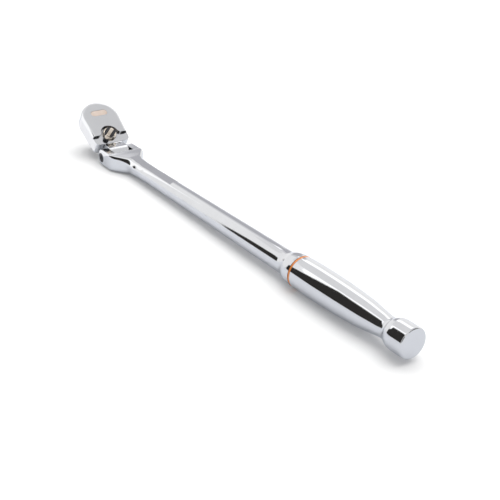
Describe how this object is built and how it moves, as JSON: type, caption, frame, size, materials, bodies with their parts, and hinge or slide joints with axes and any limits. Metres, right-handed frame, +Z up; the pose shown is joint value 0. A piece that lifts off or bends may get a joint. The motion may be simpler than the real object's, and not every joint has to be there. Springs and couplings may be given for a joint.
{
  "type": "flex-head ratchet wrench",
  "caption": "Long-handled flex-head ratchet wrench in polished chrome, with a teardrop head, square drive, reversing lever and round end knob, lying with its head tilted up.",
  "frame": {"origin": "centre of the bounding box at floor level", "axes": "+X along the handle towards the head, +Y to the left, +Z up"},
  "size_m": [0.4592, 0.0378, 0.0441],
  "materials": {
    "polished_chrome": "mirror polish",
    "warm_nickel": "satin nickel plate",
    "dark_steel": "blackened steel",
    "tool_steel": "ground tool steel",
    "spring_steel": "bright spring steel",
    "orange_enamel": "orange enamel"
  },
  "bodies": {
    "handle": {"handle": "polished_chrome", "grip_band": "orange_enamel", "flex_pin": "dark_steel", "flex_washer_left": "spring_steel", "flex_washer_right": "spring_steel", "flex_spring": "spring_steel"},
    "flex_plunger": {"flex_plunger": "tool_steel"},
    "head": {"head_housing": "polished_chrome", "badge_inlay": "orange_enamel", "pawl_pin": "tool_steel", "thrust_washer": "spring_steel", "cover_plate": "tool_steel", "cover_screw_1": "dark_steel", "cover_screw_2": "dark_steel", "cover_screw_3": "dark_steel", "cover_screw_4": "dark_steel"},
    "lever": {"reversing_lever": "warm_nickel", "selector_shaft": "tool_steel", "selector_spring": "spring_steel"},
    "selector_plunger": {"selector_plunger": "tool_steel"},
    "pawl": {"direction_pawl": "tool_steel"},
    "drive": {"drive_gear": "polished_chrome", "anvil_spring": "spring_steel"},
    "anvil_ball": {"anvil_ball": "spring_steel"}
  },
  "joints": [
    {"name": "head_flex", "type": "hinge", "parent": "handle", "child": "head", "pos_m": [0.17452, 0, 0.0082], "axis": [0, -1, 0], "range_deg": [-122.5, 57.5]},
    {"name": "flex_plunger_slide", "type": "slide", "parent": "handle", "child": "flex_plunger", "axis": [0.9999, 0, -0.0163], "range_m": [-0.001, 0], "stiffness_N_per_m": 400, "springref_m": 0.001, "deforming": ["flex_spring"]},
    {"name": "lever_turn", "type": "hinge", "parent": "head", "child": "lever", "pos_m": [0.19275, 0, 0.0194], "axis": [-0.5235, 0, 0.852], "range_deg": [0, 98]},
    {"name": "selector_plunger_slide", "type": "slide", "parent": "lever", "child": "selector_plunger", "axis": [0.559, -0.7547, 0.3434], "range_m": [-0.0005, 0], "stiffness_N_per_m": 200, "springref_m": 0.0005, "deforming": ["selector_spring"]},
    {"name": "pawl_rock", "type": "hinge", "parent": "head", "child": "pawl", "pos_m": [0.19778, 0, 0.02249], "axis": [-0.5235, 0, 0.852], "range_deg": [-12.5, 0.5]},
    {"name": "drive_turn", "type": "hinge", "parent": "head", "child": "drive", "pos_m": [0.20988, 0, 0.02992], "axis": [-0.5235, 0, 0.852], "continuous": true},
    {"name": "anvil_ball_slide", "type": "slide", "parent": "drive", "child": "anvil_ball", "axis": [0, 1, 0], "range_m": [-0.0009, 0], "stiffness_N_per_m": 300, "springref_m": 0.0007, "deforming": ["anvil_spring"]}
  ],
  "couplings": [
    {"joint": "pawl_rock", "follows": "lever_turn", "ratio": -0.12245}
  ]
}
